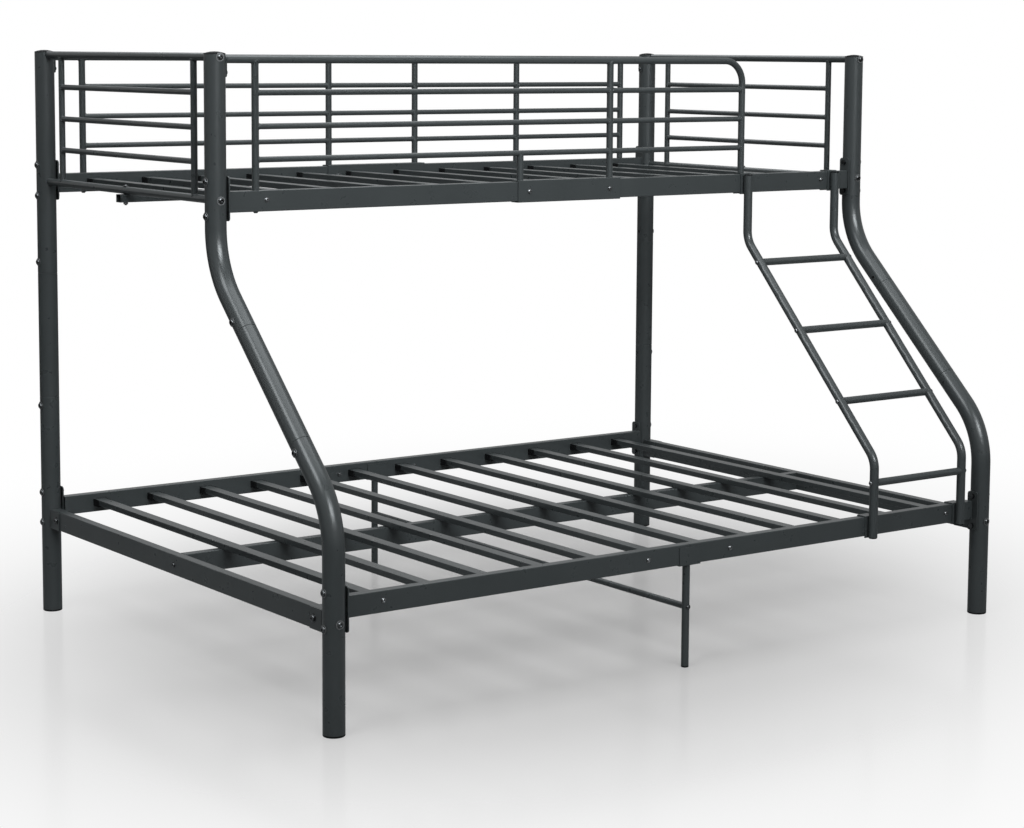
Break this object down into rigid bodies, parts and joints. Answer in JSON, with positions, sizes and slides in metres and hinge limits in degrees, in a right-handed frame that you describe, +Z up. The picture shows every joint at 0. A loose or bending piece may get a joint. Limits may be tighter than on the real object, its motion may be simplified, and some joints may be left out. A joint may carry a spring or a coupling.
{
  "type": "bunk bed frame",
  "caption": "Metal bunk bed frame with a narrow bed over a wide one, front posts that bend forwards, round-tube guards and a ladder hooked on the front rails",
  "frame": {"origin": "on the floor, under the middle of the outline of the four feet", "axes": "+X along the beds towards the ladder end, +Y to the rear, +Z up"},
  "size_m": [2.1022, 1.5022, 1.5],
  "materials": {
    "frame_paint": "smooth satin dark slate grey powder coat",
    "black_plastic": "black moulded plastic",
    "zinc_steel": "zinc plating",
    "black_steel": "glossy black plated steel"
  },
  "bodies": {
    "root": {"cross_member_bolts": "black_steel", "end_frame_bolts": "black_steel", "foot_glide_front_left": "black_plastic", "foot_glide_front_right": "black_plastic", "foot_glide_rear_left": "black_plastic", "foot_glide_rear_right": "black_plastic", "front_guard_rail": "frame_paint", "front_post_left_lower": "frame_paint", "front_post_left_middle": "frame_paint", "front_post_left_upper": "frame_paint", "front_post_right_lower": "frame_paint", "front_post_right_middle": "frame_paint", "front_post_right_upper": "frame_paint", "guard_bolts": "black_steel", "ladder_end_plugs": "black_plastic", "ladder_rung_1": "frame_paint", "ladder_rung_2": "frame_paint", "ladder_rung_3": "frame_paint", "ladder_rung_4": "frame_paint", "ladder_rung_bolts": "zinc_steel", "ladder_upright_left": "frame_paint", "ladder_upright_right": "frame_paint", "large_nuts": "black_steel", "lower_centre_beam": "frame_paint", "lower_end_rail_brackets": "frame_paint", "lower_end_rail_left": "frame_paint", "lower_end_rail_right": "frame_paint", "lower_front_rail_left": "frame_paint", "lower_front_rail_right": "frame_paint", "lower_rail_joint_sleeves": "frame_paint", "lower_rear_rail_left": "frame_paint", "lower_rear_rail_right": "frame_paint", "lower_slats": "frame_paint", "post_bolts": "black_steel", "post_caps": "black_plastic", "rear_guard_rail": "frame_paint", "rear_post_left_lower": "frame_paint", "rear_post_left_middle": "frame_paint", "rear_post_left_upper": "frame_paint", "rear_post_right_lower": "frame_paint", "rear_post_right_middle": "frame_paint", "rear_post_right_upper": "frame_paint", "side_rail_bolts": "zinc_steel", "slat_end_shoes": "black_plastic", "small_nuts": "zinc_steel", "support_glide_front": "black_plastic", "support_glide_rear": "black_plastic", "support_leg_front": "frame_paint", "support_leg_rear": "frame_paint", "support_stretcher": "frame_paint", "upper_centre_beam": "frame_paint", "upper_end_panel_left": "frame_paint", "upper_end_panel_right": "frame_paint", "upper_front_rail_left": "frame_paint", "upper_front_rail_right": "frame_paint", "upper_rail_joint_sleeves": "frame_paint", "upper_rear_rail_left": "frame_paint", "upper_rear_rail_right": "frame_paint", "upper_slats": "frame_paint"}
  },
  "joints": []
}
